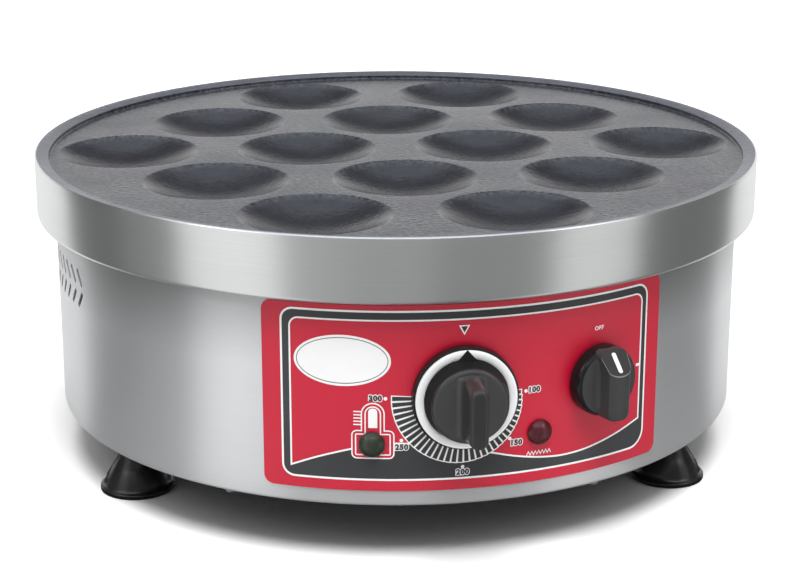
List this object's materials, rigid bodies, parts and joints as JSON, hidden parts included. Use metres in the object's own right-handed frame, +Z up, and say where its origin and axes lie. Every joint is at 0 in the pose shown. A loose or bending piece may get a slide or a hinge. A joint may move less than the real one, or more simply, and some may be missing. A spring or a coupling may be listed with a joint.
{
  "type": "pancake maker",
  "caption": "Round countertop pancake maker: cast plate with rows of dished cavities on a steel drum, red control panel, thermostat knob, rotary switch, lamps and feet.",
  "frame": {"origin": "on the drum's axis, at the table that the feet stand on", "axes": "+Z up along the drum's axis, -Y towards the front, where the middle of the control panel is, +X to the right of someone facing it"},
  "size_m": [0.4, 0.4519, 0.1711],
  "materials": {
    "plate": "cast, non-stick coating inside the rim, turned bare metal outside",
    "drum_steel": "brushed stainless sheet",
    "sheet_steel": "galvanised sheet",
    "fastener": "bright zinc plate",
    "foot": "moulded black, slight gloss",
    "panel": "printed red film, black and white print",
    "knob": "moulded black, satin",
    "knob_ring": "bright silver",
    "mark": "white",
    "green_lens": "dark green, unlit",
    "red_lens": "dark red, unlit",
    "control_plastic": "moulded black",
    "copper_alloy": "plain",
    "element": "oxidised steel sheath",
    "block": "moulded pale insulator",
    "insulation": "ceramic fibre"
  },
  "bodies": {
    "body": {"cooking_plate": "plate", "body_shell": "drum_steel", "base_plate": "sheet_steel", "heat_shield": "sheet_steel", "element_clamps": "sheet_steel", "bulb_clip": "sheet_steel", "plate_studs": "fastener", "plate_washers": "fastener", "plate_nuts": "fastener", "base_screws": "fastener", "base_nuts": "fastener", "foot_screws": "fastener", "thermostat_screws": "fastener", "bulb_clip_screws": "fastener", "switch_screws": "fastener", "lamp_nuts": "fastener", "clamp_studs": "fastener", "clamp_nuts": "fastener", "shield_nuts": "fastener", "terminal_block_screws": "fastener", "element_pins": "fastener", "foot_left": "foot", "foot_right": "foot", "foot_rear": "foot", "control_overlay": "panel", "green_lamp_lens": "green_lens", "red_lamp_lens": "red_lens", "thermostat_body": "control_plastic", "switch_body": "control_plastic", "green_lamp_body": "control_plastic", "red_lamp_body": "control_plastic", "gland_body": "control_plastic", "gland_cap": "control_plastic", "gland_locknut": "control_plastic", "thermostat_capillary": "copper_alloy", "thermostat_bulb": "copper_alloy", "terminal_screws": "copper_alloy", "earth_stud": "copper_alloy", "earth_nut": "copper_alloy", "inner_heating_element": "element", "outer_heating_element": "element", "terminal_block": "block", "insulation_pad": "insulation", "plate_gasket": "insulation"},
    "thermostat_dial": {"thermostat_knob": "knob", "thermostat_knob_ring": "knob_ring", "thermostat_shaft": "fastener"},
    "switch_dial": {"switch_knob": "knob", "switch_knob_marker": "mark", "switch_shaft": "fastener"}
  },
  "joints": [
    {"name": "thermostat_turn", "type": "hinge", "parent": "body", "child": "thermostat_dial", "pos_m": [-0.00696, -0.18987, 0.0885], "axis": [0.0366, 0.9993, 0], "range_deg": [0, 270]},
    {"name": "switch_turn", "type": "hinge", "parent": "body", "child": "switch_dial", "pos_m": [0.06389, -0.17894, 0.0885], "axis": [-0.3363, 0.9418, 0], "range_deg": [0, 90]}
  ]
}
